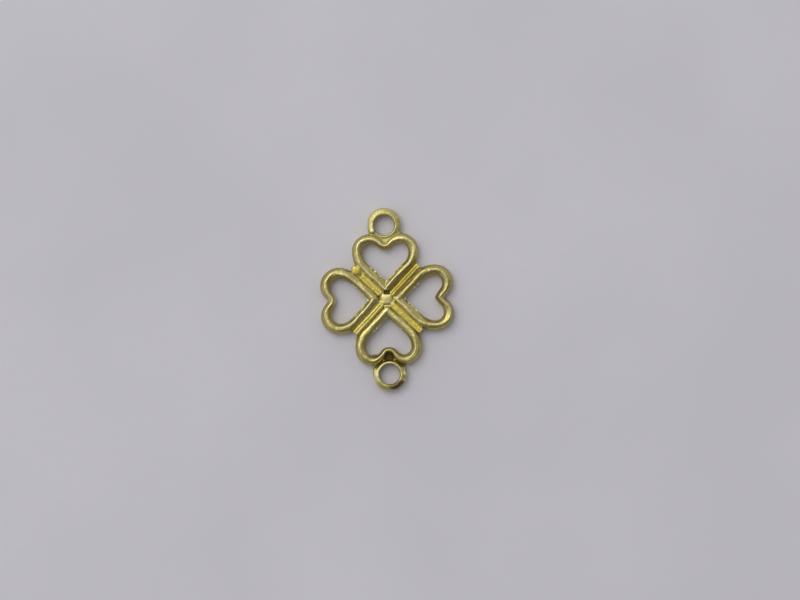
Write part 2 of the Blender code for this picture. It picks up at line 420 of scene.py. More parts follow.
def streaks(across, along, seed):
    # Random values that change quickly across a wire and slowly along it
    rng = np.random.default_rng(seed)
    values = rng.standard_normal((STREAK_CELLS, STREAK_CELLS)).astype(np.float32)
    middle = STREAK_CELLS / 2
    cells, shares = [], []
    for place in (across / STREAK_WIDTH + middle, along / STREAK_LENGTH + middle):
        place = np.clip(place, 2.0, STREAK_CELLS - 4.0)
        cell = np.floor(place).astype(int)
        cells.append(cell)
        shares.append(spline_parts(place - cell))
    total = 0.0
    for i, share_across in enumerate(shares[0]):
        for j, share_along in enumerate(shares[1]):
            found = values[cells[0] + i - 1, cells[1] + j - 1]
            total = total + share_across * share_along * found
    return total / STREAK_SPREAD


class Patch:
    # The part of the grid round one piece, between two corners in the plane
    def __init__(self, low, high):
        self.window = tuple(
            slice(*np.searchsorted(line, ends))
            for line, ends in zip((X_LINE, Y_LINE), zip(low, high))
        )
        self.x = X[self.window]
        self.y = Y[self.window]

    def turned(self, angle):
        # Its places in the frame of a piece that was turned by this angle
        a = math.radians(angle)
        c, s = math.cos(a), math.sin(a)
        return c * self.x + s * self.y, c * self.y - s * self.x

    def past_box(self, middle, half):
        # How far its places lie past the sides of a box, for each axis of the plane
        return np.abs(self.x - middle[0]) - half[0], np.abs(self.y - middle[1]) - half[1]

    def fill(self, values):
        # The whole grid, with these values in this part of it
        full = np.full(GRID_COUNT, FAR, np.float32)
        full[self.window] = values
        return full


def patch_along(angle, start, end, side):
    # The part round a straight or heart-shaped piece that lies this far out at this angle
    a = math.radians(angle)
    way = np.array([math.cos(a), math.sin(a)])
    across = np.array([-way[1], way[0]])
    corners = [way * r + across * q for r in (start, end) for q in (-side, side)]
    return Patch(np.min(corners, 0), np.max(corners, 0))


def patch_round(middle, half, room):
    # The part round a box in the plane
    low = (middle[0] - half[0] - room, middle[1] - half[1] - room)
    return Patch(low, (middle[0] + half[0] + room, middle[1] + half[1] + room))


def heart_line(x, y, turn, sharp):
    # Distance from the wire's centre line, below zero inside the heart. The straight sides
    # run on past the point, turn rounds the bend where the left and right halves meet, and
    # sharp is the notch's share of a plain V.
    ax = np.sqrt(x ** 2 + turn ** 2)
    end_x = SIDE_X + SIDE_RADIUS / SQRT2
    along = (ax + y - POINT_Y) / SQRT2
    off = (ax - y + POINT_Y) / SQRT2
    past = np.maximum(along - end_x * SQRT2, 0.0)
    best = np.hypot(off, past)
    line = np.where(off < 0, -best, best)

    def take(distance, valid):
        nonlocal best, line
        nearer = valid & (np.abs(distance) < best)
        best = np.where(nearer, np.abs(distance), best)
        line = np.where(nearer, distance, line)

    angle = np.arctan2(y - LOBE_Y, ax - SIDE_X)
    side = np.hypot(ax - SIDE_X, y - LOBE_Y) - SIDE_RADIUS
    take(side, (angle >= -RIGHT_ANGLE / 2) & (angle <= 0))
    angle = np.arctan2(y - LOBE_Y, ax - LOBE_X)
    lobe = np.hypot(ax - LOBE_X, y - LOBE_Y) - LOBE_RADIUS
    take(lobe, (angle >= 0) & (angle <= RIGHT_ANGLE + NOTCH_SLOPE + ANGLE_ROOM))
    angle = np.arctan2(y - NOTCH_Y, ax)
    low = (angle >= -RIGHT_ANGLE - ANGLE_ROOM) & (angle <= NOTCH_SLOPE - RIGHT_ANGLE + ANGLE_ROOM)
    arc = NOTCH_RADIUS - np.hypot(ax, y - NOTCH_Y)
    rise = (LOBE_X - ax) * math.sin(NOTCH_SLOPE) + (y - LOBE_Y) * math.cos(NOTCH_SLOPE)
    straight = rise - LOBE_RADIUS
    take(arc + (straight - arc) * sharp, low)
    return line


def through(plane):
    # Values in the plane, held through the grid's height
    return plane[:, :, None] + 0 * Z


def wire_solid(line, half, shift, ridge, edge, lift):
    # Flat back, upright sides and two flanks that meet in a rounded ridge
    side = np.where(line > shift, half - shift, half + shift)
    out = np.abs(line - shift) / side
    span = np.sqrt(1.0 + ridge ** 2) - ridge
    top = RIDGE_TOP - RIDGE_FALL * (np.sqrt(out ** 2 + ridge ** 2) - ridge) / span + lift
    slope = RIDGE_FALL * out / np.sqrt(out ** 2 + ridge ** 2) / span / side
    crest = (Z - top[:, :, None]) / np.sqrt(1.0 + slope ** 2)[:, :, None]
    body = soft_max(through(np.abs(line) - half), crest, edge[:, :, None])
    return soft_max(body, -Z, FOOT_EDGE)


def upright(outline, top, top_edge):
    # An upright solid on an outline in the plane, with rounded upper and lower edges. Its
    # top is one height or differs over the plane.
    if isinstance(top, np.ndarray):
        top = top[:, :, None]
    body = soft_max(through(outline), Z - top, top_edge)
    return soft_max(body, -Z, FOOT_EDGE)


def capsule(patch, start, end, radius):
    # Distance in the plane from a thick line with round ends
    way = (end[0] - start[0], end[1] - start[1])
    dx, dy = patch.x - start[0], patch.y - start[1]
    t = np.clip((dx * way[0] + dy * way[1]) / (way[0] ** 2 + way[1] ** 2), 0.0, 1.0)
    return np.hypot(dx - t * way[0], dy - t * way[1]) - radius


def egg(patch, centre, radii):
    # A rounded lump
    p = (patch.x[:, :, None] - centre[0]) / radii[0]
    q = (patch.y[:, :, None] - centre[1]) / radii[1]
    r = (Z - centre[2]) / radii[2]
    return (np.sqrt(p ** 2 + q ** 2 + r ** 2) - 1.0) * min(radii)


def heart_field(name, angle, drift, swell, wander, burr):
    # A bent wire with a pressed notch, worked out in the frame of the upright heart
    patch = patch_along(angle + 90, 0.0, HEART_REACH, HEART_SIDE)
    x, y = patch.turned(angle)
    thinner, inwards, beside, aside, width, thin_width, sharp, notch_ridge = NOTCH_PRESS[name]
    x = x - aside * np.exp(-(x / ASIDE_WIDTH) ** 2) * step(y, *ASIDE_RISE)
    flank = (x / FLANK_WIDTH) ** 2
    pressed = inwards * np.exp(-(x / width) ** 2) + beside * flank * np.exp(1.0 - flank)
    y = y + pressed * step(y, *PRESS_RISE)
    lobe = step(y, *LOBE_RISE)
    point_turn, notch_turn = TURN_ROUND[name]
    line = heart_line(x, y, point_turn + (notch_turn - point_turn) * lobe, sharp)
    line = line + WIRE_DRIFT * drift[patch.window]

    # Half width, less on the inner side of the straight sides and at the notch
    half = HALF_WIRE * (1.0 + WIRE_SWELL * swell[patch.window])
    half = half - STRAIGHT_THINNER * step(-line, *THINNER_BAND) * (1.0 - lobe)
    notch = np.exp(-(np.hypot(x, y - NOTCH_Y + NOTCH_RADIUS) / thin_width) ** 2)
    half = half * (1.0 - thinner * notch)

    # Ridge, with its own shape on each side, on the lobes and at the notch
    share = step(x, *MIDDLE_BAND)
    sides = zip(*SIDE_SHAPE[name])
    shift, ridge, worn = ((a + (b - a) * share) * (1.0 - lobe) for a, b in sides)
    ridge = ridge + (LOBE_RIDGE + (notch_ridge - LOBE_RIDGE) * notch) * lobe
    shift = shift + LOBE_WANDER * wander[patch.window] * lobe * (1.0 - notch)
    edge = SIDE_EDGE + (LOBE_EDGE - SIDE_EDGE) * lobe
    along = STREAK_RADIUS * np.arctan2(x, y - STREAK_MIDDLE)
    lift = WIRE_STREAK * streaks(line, along, STREAK_SEED + angle)
    solid = wire_solid(line, half, shift, ridge, edge, lift)
    solid = soft_max(solid, Z - (RIDGE_TOP - worn)[:, :, None], WORN_EDGE)

    # Burr along the inner wall of the straight sides
    left, right = BURR_SHARE[name]
    thick = BURR_MEAN + BURR_SPREAD * burr[patch.window]
    radius = BURR_RADIUS * (left + (right - left) * share) * thick
    out = (np.abs(x) + y - POINT_Y) / SQRT2
    radius = radius * (1.0 - step(out, *BURR_END))
    from_wall = (line + HALF_WIRE - STRAIGHT_THINNER)[:, :, None]
    thread = np.sqrt(from_wall ** 2 + (Z - BURR_HEIGHT) ** 2) - radius[:, :, None]
    solid = soft_min(solid, thread, BURR_JOIN)
    return patch.fill(soft_max(solid, (POINT_TRIM[name] - y)[:, :, None], POINT_FILLET))


def strip_field(name, angle, grain):
    # A domed strip with a fold along it
    share, start, middle, half, fold, fold_place, _ = STRIP_MAKE[name]
    end = SHORT_STRIP_END if name == "upper_left_strip" else STRIP_END
    patch = patch_along(angle, 0.0, STRIP_END + STRIP_ROOM, STRIP_SIDE)
    along, across = patch.turned(angle)
    reach = np.abs(across - middle) / half
    dome = STRIP_EDGE + (STRIP_TOP - STRIP_EDGE) * np.sqrt(np.clip(1.0 - reach ** 2, 0.0, 1.0))
    dome = dome - fold * np.exp(-((across - fold_place) / FOLD_WIDTH) ** 2)
    ends = np.abs(along - (start + end) / 2) - (end - start) / 2
    outline = soft_max(np.abs(across - middle) - half, ends, STRIP_FILLET)
    return patch.fill(upright(outline, dome, FLAT_EDGE) - share * grain[patch.window])


def bed_field(name, angle):
    # Solder between a strip and the wires on both sides of it
    clockwise, counter = STRIP_MAKE[name][-1]
    patch = patch_along(angle, 0.0, STRIP_END + STRIP_ROOM, STRIP_SIDE)
    along, across = patch.turned(angle)
    top = clockwise + (counter - clockwise) * step(across, *BED_BAND)
    ends = np.abs(along - (BED_START + BED_END) / 2) - (BED_END - BED_START) / 2
    outline = np.maximum(np.abs(across) - BED_HALF, ends)
    return patch.fill(upright(outline, top, FLAT_EDGE))


def bead_field(grain):
    # A lump that stands square to the charm, and solder between it and the strip's end
    angle = STRIPS["upper_left_strip"]
    patch = patch_along(angle, *BEAD_PATCH)
    along, across = patch.turned(angle)
    dx, dy = patch.x - BEAD_MIDDLE[0], patch.y - BEAD_MIDDLE[1]
    outline = soft_max(np.abs(dx), np.abs(dy), BEAD_CORNER) - BEAD_HALF
    body = upright(outline, BEAD_TOP - BEAD_DOME * (dx ** 2 + dy ** 2), BEAD_EDGE)
    neck = np.maximum(np.abs(across) - NECK_HALF[1], np.abs(along - NECK_MIDDLE) - NECK_HALF[0])
    body = soft_min(body, upright(neck, NECK_TOP, NECK_EDGE), NECK_JOIN)
    return patch.fill(body - grain[patch.window])


def pad_field():
    # A flat pad that falls away to solder, which runs on to the points of the hearts. Each
    # place leans to one heart, by number.
    patch = patch_round((0.0, 0.0), (0.0, 0.0), PAD_ROOM)
    x, y = patch.x, patch.y
    ax, ay = np.abs(x), np.abs(y)
    out = soft_max(ax, ay, PAD_CORNER)
    lean = np.where(ax > ay, np.where(x > 0, 3, 1), np.where(y > 0, 0, 2))
    reach = np.choose(lean, [POINT_TRIM[name] for name in HEARTS]) + PAD_LAP
    fall = step(out, PAD_HALF + PAD_FALL[0], PAD_HALF + PAD_FALL[1])
    top = PAD_SOLDER + (PAD_TOP - PAD_SOLDER) * (1.0 - fall)
    outline = np.maximum(out - reach, ax + ay - PAD_REACH)
    return patch.fill(upright(outline, top, FLAT_EDGE))


def pit_field(middle, half, floor):
    # What a pit takes away, down to its floor
    patch = patch_round(middle, half, PIT_ROOM)
    outline = soft_max(*patch.past_box(middle, half), PIT_EDGE)
    return patch.fill(soft_max(through(outline), floor - Z, PIT_EDGE))


def gap_fill(middle, half, height, edge):
    # Solder low down between two pieces
    patch = patch_round(middle, half, GAP_ROOM)
    outline = np.maximum(*patch.past_box(middle, half))
    return patch.fill(upright(outline, height, edge))


def eyelet_field(name, side, hole_shift):
    # A ring whose top falls away outwards, with a shoulder on either side that runs down to
    # the lobe. Side is 1 at the top of the charm and -1 at the bottom.
    patch = patch_round((0.0, side * EYELET_PATCH_Y), (0.0, 0.0), EYELET_PATCH_HALF)
    from_middle = np.hypot(patch.x, patch.y - side * EYELET_Y)
    hole = HOLE_RADIUS - np.hypot(patch.x, patch.y - side * (EYELET_Y - hole_shift))
    out = (from_middle - EYELET_CREST) / (EYELET_RADIUS + FALL_ROOM - EYELET_CREST)
    out = np.clip(out, 0.0, 1.0)
    top = EYELET_TOP - EYELET_FALL * (0.5 * out + 0.5 - 0.5 * np.sqrt(1.0 - out ** 2))
    inwards = step(side * (side * EYELET_Y - patch.y) / from_middle, *SINK_TURN)
    top = top - EYELET_SINK[name] * inwards * step(out, *SINK_OUT)
    body = upright(from_middle - EYELET_RADIUS, top, EYELET_EDGE)
    for start, end, radius, height in SHOULDERS[name]:
        shoulder = upright(capsule(patch, start, end, radius), height, SHOULDER_EDGE)
        body = soft_min(body, shoulder, SHOULDER_JOIN)
    for centre, radii in EYELET_LUMPS[name]:
        body = soft_min(body, egg(patch, centre, radii), LUMP_JOIN)
    for start, end, radius, height in EYELET_RIDGES[name]:
        ridge = upright(capsule(patch, start, end, radius), height, THIN_RIDGE_EDGE)
        body = soft_min(body, ridge, THIN_RIDGE_EDGE)
    return patch.fill(soft_max(body, through(hole), HOLE_EDGE))


def main_fields():
    # Every piece's own solid, before they are run together
    changes = [
        flat_noise(*one) for one in (DRIFT_NOISE, SWELL_NOISE, WANDER_NOISE, BURR_NOISE)
    ]
    grains = np.clip(noise(*GRAIN_NOISE) - GRAIN_LEVEL, 0.0, GRAIN_MOST)
    grain = GRAIN_HEIGHT * grains + GROUND_HEIGHT * noise(*GROUND_NOISE)
    fields = {name: heart_field(name, angle, *changes) for name, angle in HEARTS.items()}
    for name, angle in STRIPS.items():
        fields[name] = strip_field(name, angle, grain)
    fields["upper_left_bead"] = bead_field(grain)
    fields["centre_pad"] = pad_field()
    fields["top_eyelet"] = eyelet_field("top_eyelet", 1.0, TOP_HOLE_SHIFT)
    fields["bottom_eyelet"] = eyelet_field("bottom_eyelet", -1.0, 0.0)
    for name, fills in GAP_FILLS.items():
        for fill in fills:
            fields[name] = soft_min(fields[name], gap_fill(*fill), GAP_JOIN)
    return fields


def run_together(fields):
    # One field for the whole casting, with a fillet at every join
    hearts = [fields[name] for name in HEARTS]
    whole = functools.reduce(lambda a, b: soft_min(a, b, HEART_JOIN), hearts)
    for name, join in EYELET_JOIN.items():
        whole = soft_min(whole, fields[name], join)
    for name, angle in STRIPS.items():
        whole = soft_min(whole, bed_field(name, angle), BED_JOIN)
        whole = soft_min(whole, fields[name], STRIP_JOIN)
    whole = soft_min(whole, fields["centre_pad"], PAD_JOIN)
    whole = soft_min(whole, fields["upper_left_bead"], BEAD_JOIN)
    for middle, half, floor, rim in PITS:
        whole = soft_max(whole, -pit_field(middle, half, floor), rim)
    # Joins mustn't bulge below the flat back
    whole = soft_max(whole, -Z, BACK_EDGE)
    return whole - sum(height * noise(size, seed) for height, size, seed in SKIN)


def box_blur(values, radius):
    # A running mean on every axis, done three times to come near a bell shape
    size = 2 * radius + 1
    for _ in range(3):
        for axis in range(3):
            pad = [(0, 0)] * 3
            pad[axis] = (radius + 1, radius)
            total = np.cumsum(np.pad(values, pad), axis=axis, dtype=np.float64)
            count = values.shape[axis]
            high = np.take(total, range(size, size + count), axis=axis)
            low = np.take(total, range(0, count), axis=axis)
            values = ((high - low) / size).astype(np.float32)
    return values


def sample(field, points):
    # Values of a field between the grid's places, for points in grid steps
    limit = np.array(field.shape) - 2
    cell = np.clip(np.floor(points).astype(int), 0, limit)
    t = points - cell
    total = 0.0
    for corner in itertools.product((0, 1), repeat=3):
        near = np.where(corner, t, 1 - t)
        share = near[:, 0] * near[:, 1] * near[:, 2]
        total = total + share * field[tuple((cell + corner).T)]
    return total


def slope_at(field, points):
    # Direction in which a field grows, taken over 0.6 grid steps to either side
    reach = 0.6
    parts = []
    for axis in range(3):
        shift = np.zeros(3)
        shift[axis] = reach
        parts.append(sample(field, points + shift) - sample(field, points - shift))
    return np.stack(parts, 1) / (2 * reach)


def surface_net(field):
    # Points, in grid steps, and four-cornered faces where a field on the grid is zero
    inside = field < 0.0
    cells = np.array(field.shape) - 1
    total = np.zeros((int(np.prod(cells)), 3))
    count = np.zeros(len(total))
    faces = []
    for axis in range(3):
        here = [slice(None)] * 3
        there = [slice(None)] * 3
        here[axis], there[axis] = slice(0, -1), slice(1, None)
        edge = np.argwhere(inside[tuple(here)] != inside[tuple(there)])
        other = edge.copy()
        other[:, axis] += 1
        a = field[tuple(edge.T)]
        b = field[tuple(other.T)]
        point = edge.astype(float)
        point[:, axis] += a / (a - b)
        second, third = (axis + 1) % 3, (axis + 2) % 3
        corners = []
        for move2, move3 in ((0, 0), (-1, 0), (-1, -1), (0, -1)):
            cell = edge.copy()
            cell[:, second] += move2
            cell[:, third] += move3
            number = np.ravel_multi_index(tuple(cell.T), cells)
            corners.append(number)
            for part in range(3):
                total[:, part] += np.bincount(number, point[:, part], len(total))
            count += np.bincount(number, minlength=len(total))
        quad = np.stack(corners, 1)
        turn = a > 0
        quad[turn] = quad[turn][:, ::-1]
        faces.append(quad)
    faces = np.concatenate(faces)
    used, faces = np.unique(faces, return_inverse=True)
    points = total[used] / count[used][:, None]
    return points, faces.reshape(-1, 4)


def settle(field, points, faces):
    # Evens out the net and brings its points back to the surface, three times over
    pairs = np.concatenate([faces[:, [a, (a + 1) % 4]] for a in range(4)])
    number = len(points)
    degree = np.bincount(pairs.ravel(), minlength=number)[:, None]
    for _ in range(3):
        around = np.zeros_like(points)
        for part in range(3):
            around[:, part] = np.bincount(pairs[:, 0], points[pairs[:, 1], part], number)
            around[:, part] += np.bincount(pairs[:, 1], points[pairs[:, 0], part], number)
        points = points + 0.5 * (around / degree - points)
        for _ in range(2):
            slope = slope_at(field, points)
            size = np.maximum((slope ** 2).sum(1), 1e-9)
            move = (sample(field, points) / size)[:, None] * slope
            far = np.linalg.norm(move, axis=1, keepdims=True)
            points = points - move * np.minimum(1.0, 0.5 / np.maximum(far, 1e-9))
    return points


def net_mesh(name, field):
    # A mesh on a field's surface, made on the part of the grid that holds its inside
    inside = np.argwhere(field < 0.0)
    low = np.maximum(inside.min(0) - GRID_ROOM, 0)
    high = np.minimum(inside.max(0) + GRID_ROOM + 1, field.shape)
    window = tuple(slice(a, b) for a, b in zip(low, high))
    part = np.pad(field[window], 1, constant_values=FAR)
    points, faces = surface_net(part)
    points = settle(part, points, faces)
    points = points - 1 + low
    mesh = bpy.data.meshes.new(name)
    mesh.vertices.add(len(points))
    mesh.vertices.foreach_set("co", ((GRID_LOW + GRID_STEP * points) * MM).ravel())
    mesh.loops.add(faces.size)
    mesh.loops.foreach_set("vertex_index", faces.ravel())
    mesh.polygons.add(len(faces))
    mesh.polygons.foreach_set("loop_start", np.arange(0, faces.size, 4))
    mesh.update(calc_edges=True)
    return mesh


def with_fewer_faces(name, mesh):
    # The same mesh with fewer faces where the surface is plain
    rough = bpy.data.objects.new(name + "_net", mesh)
    bpy.context.scene.collection.objects.link(rough)
    thin = rough.modifiers.new("fewer_faces", "DECIMATE")
    thin.ratio = FACES_KEPT
    evaluated = rough.evaluated_get(bpy.context.evaluated_depsgraph_get())
    done = bpy.data.meshes.new_from_object(evaluated)
    done.name = name
    bpy.data.objects.remove(rough)
    bpy.data.meshes.remove(mesh)
    return done


# Share of a duller, greener finish, of rubbed metal all over, of pale ridges, partly rubbed wear
# and partly painted highlight, and of a darker, browner zone on the lobes
FINISH = {
    "top_heart": (0.0, 0.0, 1.0, 0.22),
    "top_eyelet": (1.0, 0.12, 0.2, 0.0),
    "bottom_eyelet": (0.55, 0.06, 0.4, 0.0),
    "centre_pad": (0.3, 0.0, 0.2, 0.0),
    "upper_right_strip": (0.0, 0.14, 0.5, 0.0),
    "upper_left_strip": (0.0, 0.16, 0.5, 0.0),
    "lower_left_strip": (0.0, 0.14, 0.8, 0.0),
    "lower_right_strip": (0.0, 0.14, 0.5, 0.0),
    "upper_left_bead": (0.0, 0.24, 0.3, 0.0),
}
PLAIN_FINISH = (0.0, 0.0, 1.0, 0.5)

# The share of metal round a place, within CROWD_REACH, tells hollows from edges, and the bend
# of the surface tells ridges: where each starts, and the span over which it grows to 1
CROWD_REACH = 0.13
HOLLOW_START = 0.52
HOLLOW_SPAN = 0.30
EDGE_START = 0.50
EDGE_SPAN = 0.22
RIDGE_START = 1.6
RIDGE_SPAN = 4.4

# A darker, browner zone on the upper right arm: its share, where it sets in and ends along the
# arm, and where it ends to the side. On the lobes it sets in at LOBES_START from the centre.
ARM_DULL = 0.8
ARM_START = (0.7, 1.3)
ARM_END = (4.4, 5.4)
ARM_SIDE = (0.85, 1.25)
LOBES_START = (3.9, 4.9)

# Spots of painted shade and of painted highlight: middle, reach, height that they stay below, and
# share. A spot ends within SPOT_BAND of that height, and on the walls it fades out over
# WALL_FADE.
SPOT_BAND = 0.1
WALL_FADE = (0.62, 0.95)
# Painted shade round the pad, by the bead, in the gap under the bottom notch and on the bottom
# eyelet's lower right
SHADE_SPOTS = (
    ((0.0, 0.77), (0.36, 0.26), 1.40, 0.70),
    ((-0.84, 0.14), (0.22, 0.24), 1.36, 0.40),
    ((0.80, 0.05), (0.12, 0.22), 1.5, 0.50),
    ((0.0, -0.84), (0.28, 0.14), 1.6, 0.85),
    ((0.0, 0.0), (0.55, 0.55), 1.6, 0.30),
    ((-2.90, 2.80), (0.36, 0.36), 1.46, 0.60),
    ((-0.10, -6.20), (0.50, 0.36), 0.95, 1.0),
    ((-1.20, -6.45), (0.60, 0.22), 1.10, 0.45),
    ((0.40, -6.25), (0.22, 0.40), 1.15, 0.60),
    ((0.80, -9.40), (1.10, 0.60), 1.6, 1.25),
    ((1.50, -8.55), (0.30, 0.70), 1.6, 0.25),
)
# Painted highlights and glints on the eyelets and on the left notch
HIGHLIGHT_SPOTS = (
    ((-1.45, -8.30), (0.24, 0.75), 1.6, 0.65),
    ((-1.36, 7.56), (0.16, 0.20), 1.6, 1.00),
    ((-1.45, 8.20), (0.22, 0.50), 1.6, 0.30),
    ((-5.95, 0.45), (0.50, 0.90), 1.6, 1.00),
    ((1.70, -8.20), (0.12, 0.18), 1.6, 0.80),
    ((1.56, -8.86), (0.10, 0.14), 1.6, 0.80),
)


def spots_at(points, spots):
    # Share of a table's spots at points in millimetres, painted shade in one table and painted
    # highlights in the other
    total = 0.0
    for middle, reach, below, share in spots:
        across = (points[:, 0] - middle[0]) / reach[0]
        along = (points[:, 1] - middle[1]) / reach[1]
        out = across ** 2 + along ** 2
        spot = share * np.exp(-out ** 2)
        spot = spot * (1.0 - step(points[:, 2], below - SPOT_BAND, below + SPOT_BAND))
        if below > RIDGE_TOP:
            # A spot on the tops fades out down the walls
            spot = spot * step(points[:, 2], *WALL_FADE)
        total = total + spot
    return total


def dullness(points, lobes):
    # Share of the darker, browner zone, which lies all along the upper right arm and on the lobes
    along = (points[:, 0] + points[:, 1]) / SQRT2
    across = np.abs(points[:, 1] - points[:, 0]) / SQRT2
    arm = step(along, *ARM_START) * (1.0 - step(along, *ARM_END))
    arm = arm * (1.0 - step(across, *ARM_SIDE))
    from_centre = np.hypot(points[:, 0], points[:, 1])
    return np.maximum(ARM_DULL * arm, lobes * step(from_centre, *LOBES_START))


def piece_mesh(name, own, rest, whole, crowd, bend):
    # One piece of the casting: the whole field cut off just past the piece's neighbours
    past = 0.5 * (own - rest)
    field = np.maximum(whole + np.maximum(past, 0.0), past - PIECE_LAP)
    mesh = with_fewer_faces(name + "_cast", net_mesh(name + "_cast", field))

    # Normals run on from piece to piece
    flat = np.empty(len(mesh.vertices) * 3)
    mesh.vertices.foreach_get("co", flat)
    points = flat.reshape(-1, 3) / MM
    grid = (points - GRID_LOW) / GRID_STEP
    hidden = sample(whole, grid) < HIDDEN
    normals = np.where(hidden[:, None], slope_at(field, grid), slope_at(whole, grid))
    normals /= np.maximum(np.linalg.norm(normals, axis=1, keepdims=True), 1e-9)
    mesh.shade_smooth()
    mesh.normals_split_custom_set_from_vertices(normals)

    # What the material needs to know: hollows and spots of painted shade, edges, ridges and spots
    # of wear and painted highlight, and the piece's finish
    matt, polish, wear_and_sheen, lobes = FINISH.get(name, PLAIN_FINISH)
    crowded = sample(crowd, grid)
    ridges = np.clip((sample(bend, grid) - RIDGE_START) / RIDGE_SPAN, 0.0, 1.0)
    hollows = np.clip((crowded - HOLLOW_START) / HOLLOW_SPAN, 0.0, 1.0)
    for label, value in (
        # Painted shade in hollows and in the shade spots
        ("hollow_shade", hollows + spots_at(points, SHADE_SPOTS)),
        ("edge", np.clip((EDGE_START - crowded) / EDGE_SPAN, 0.0, 1.0)),
        # Rubbed wear and painted highlight on ridges, with the highlight spots
        ("wear_and_sheen", wear_and_sheen * ridges + (polish + spots_at(points, HIGHLIGHT_SPOTS))),
        ("dull", dullness(points, lobes)),
        ("matt", np.full(len(points), matt)),
    ):
        layer = mesh.attributes.new(label, "FLOAT", "POINT")
        layer.data.foreach_set("value", value.astype(np.float32))
    return mesh


class Nodes:
    # Shorthand for laying out the nodes of a material or of the world
    def __init__(self, tree):
        self.tree = tree

    def add(self, kind, **settings):
        node = self.tree.nodes.new(kind)
        for key, value in settings.items():
            setattr(node, key, value)
        return node

    def link(self, source, target):
        self.tree.links.new(source, target)

    def put(self, socket, value):
        if isinstance(value, bpy.types.NodeSocket):
            self.link(value, socket)
        else:
            socket.default_value = value

    def place(self, kind):
        return self.add("ShaderNodeTexCoord").outputs[kind]

    def noise(self, scale, detail, roughness):
        node = self.add("ShaderNodeTexNoise")
        self.link(self.place("Object"), node.inputs["Vector"])
        node.inputs["Scale"].default_value = scale
        node.inputs["Detail"].default_value = detail
        node.inputs["Roughness"].default_value = roughness
        return node.outputs["Fac"]

    def cells(self, scale):
        node = self.add("ShaderNodeTexVoronoi", feature="F1")
        self.link(self.place("Object"), node.inputs["Vector"])
        node.inputs["Scale"].default_value = scale
        return node.outputs["Distance"]

    def attribute(self, label):
        return self.add("ShaderNodeAttribute", attribute_name=label).outputs["Fac"]

    def spread(self, value, low, high, to_low=0.0, to_high=1.0):
        # Runs smoothly from to_low where the value is low to to_high where it is high
        node = self.add("ShaderNodeMapRange", interpolation_type="SMOOTHSTEP")
        self.put(node.inputs["Value"], value)
        ends = {"From Min": low, "From Max": high, "To Min": to_low, "To Max": to_high}
        for key, number in ends.items():
            node.inputs[key].default_value = number
        return node.outputs["Result"]

    def math(self, operation, a, b):
        node = self.add("ShaderNodeMath", operation=operation)
        self.put(node.inputs[0], a)
        self.put(node.inputs[1], b)
        return node.outputs[0]

    def mix(self, share, a, b):
        node = self.add("ShaderNodeMix", data_type="RGBA")
        self.put(node.inputs[0], share)
        self.put(node.inputs[6], a if isinstance(a, bpy.types.NodeSocket) else (*a, 1.0))
        self.put(node.inputs[7], b if isinstance(b, bpy.types.NodeSocket) else (*b, 1.0))
        return node.outputs[2]

    def facing(self, place, way):
        # How far a direction points this way: 1 along it and 0 square to it
        node = self.add("ShaderNodeVectorMath", operation="DOT_PRODUCT")
        self.link(place, node.inputs[0])
        node.inputs[1].default_value = way
        return node.outputs["Value"]

    def bump(self, height, strength, distance, below=None):
        node = self.add("ShaderNodeBump")
        self.link(height, node.inputs["Height"])
        node.inputs["Strength"].default_value = strength
        node.inputs["Distance"].default_value = distance
        if below is not None:
            self.link(below, node.inputs["Normal"])
        return node.outputs["Normal"]


# Colours, as a linear share of light
LIGHT_BRASS = (0.78, 0.68, 0.27)
GREEN_BRASS = (0.655, 0.595, 0.205)
# Pale colour of rubbed wear, also used for painted highlights and pale specks
PALE_WEAR_AND_SHEEN = (0.95, 0.87, 0.47)
BROWN_BRASS = (0.31, 0.215, 0.040)
GOLDEN = (0.91, 0.75, 0.13)
GREEN_GOLDEN = (0.77, 0.665, 0.11)
# Pale colour of rubbed wear on the grainy brass, also used for painted highlights and pale specks
PALE_WEAR_AND_SHEEN_GOLDEN = (1.0, 0.87, 0.32)
BROWN_GOLDEN = (0.36, 0.25, 0.035)
# Painted shade for the deepest hollows
DEEP_SHADE = (0.14, 0.10, 0.05)
PAPER_LIGHT = (0.905, 0.888, 0.935)
PAPER_DARK = (0.85, 0.833, 0.88)

# Scales of the textures, in lumps per metre
CLOUD_SCALE = 900.0
MOTTLE_SCALE = 4200.0
SPECK_SCALE = 6500.0
GRIT_SCALE = 16000.0
GRAIN_SCALE = 9000.0
FIBRE_SCALE = 700.0
BLOTCH_SCALE = 35.0

# Heights of the bumps, in metres
MOTTLE_BUMP = 0.000020
GRIT_BUMP = 0.000010
GRAIN_BUMP = 0.000040
FIBRE_BUMP = 0.00003


def new_material(name):
    # A material, its nodes and its shader
    material = bpy.data.materials.new(name)
    material.use_nodes = True
    tree = material.node_tree
    return material, Nodes(tree), tree.nodes["Principled BSDF"]


